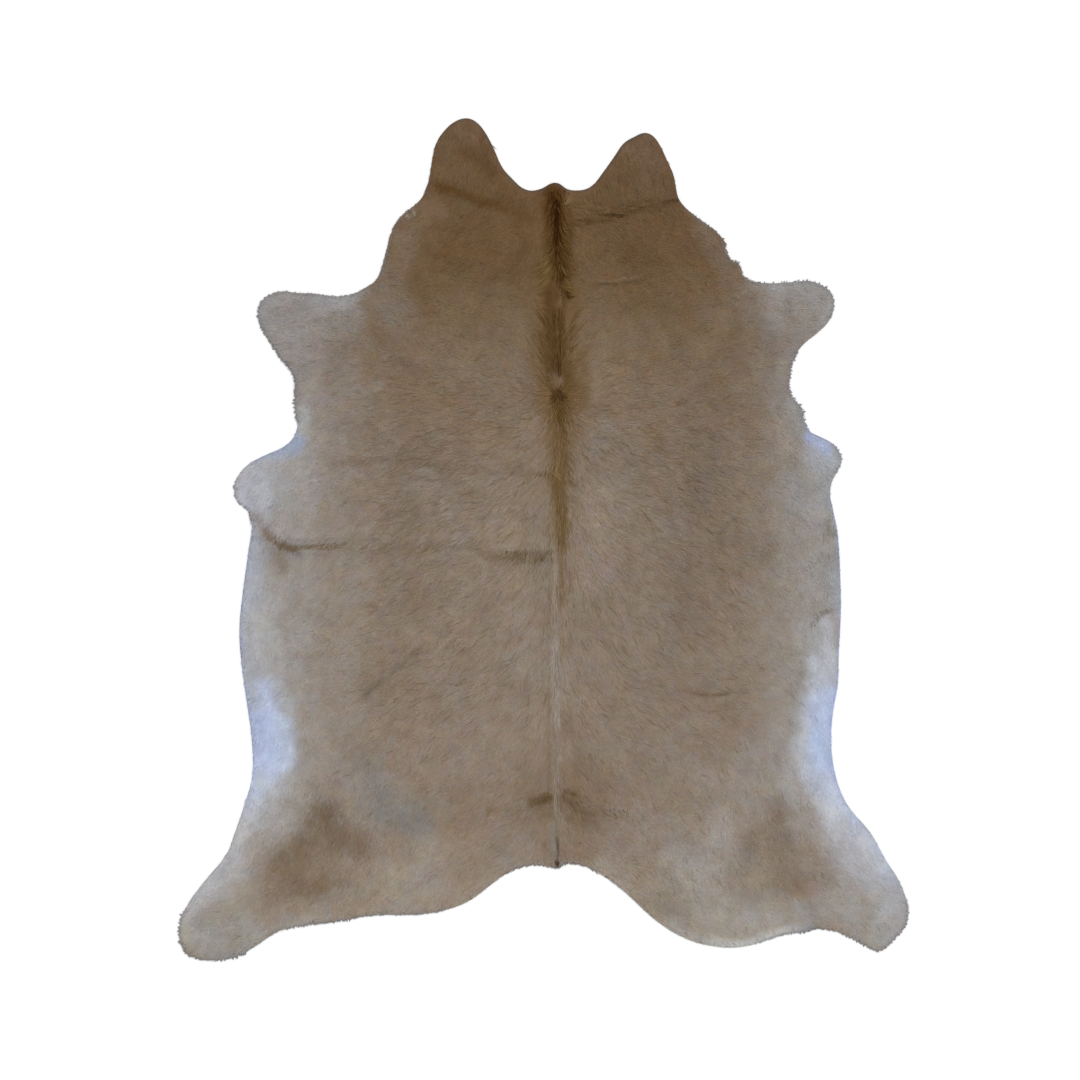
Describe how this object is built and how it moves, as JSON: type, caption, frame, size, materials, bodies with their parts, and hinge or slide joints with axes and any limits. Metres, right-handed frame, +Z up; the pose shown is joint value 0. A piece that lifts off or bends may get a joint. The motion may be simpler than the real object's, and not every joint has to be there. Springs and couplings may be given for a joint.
{
  "type": "hair-on cattle hide rug",
  "caption": "Tanned cattle hide with its coat left on, cut along its natural edge and lying flat as a floor rug, with low creases across the back and along the spine.",
  "frame": {"origin": "middle of the hide's outline box, on the plane that the skin side rests on", "axes": "+Z up, out of the coat; +Y along the spine towards the neck; +X towards the side on the right, with the coat up and the neck away"},
  "size_m": [1.9038, 2.2, 0.0094],
  "materials": {
    "coat": "matt tan cattle hair lying flat over tanned skin, browner towards the neck, paler on the legs and flanks, with a dark stripe along the spine"
  },
  "bodies": {
    "root": {"hide": "coat"}
  },
  "joints": []
}
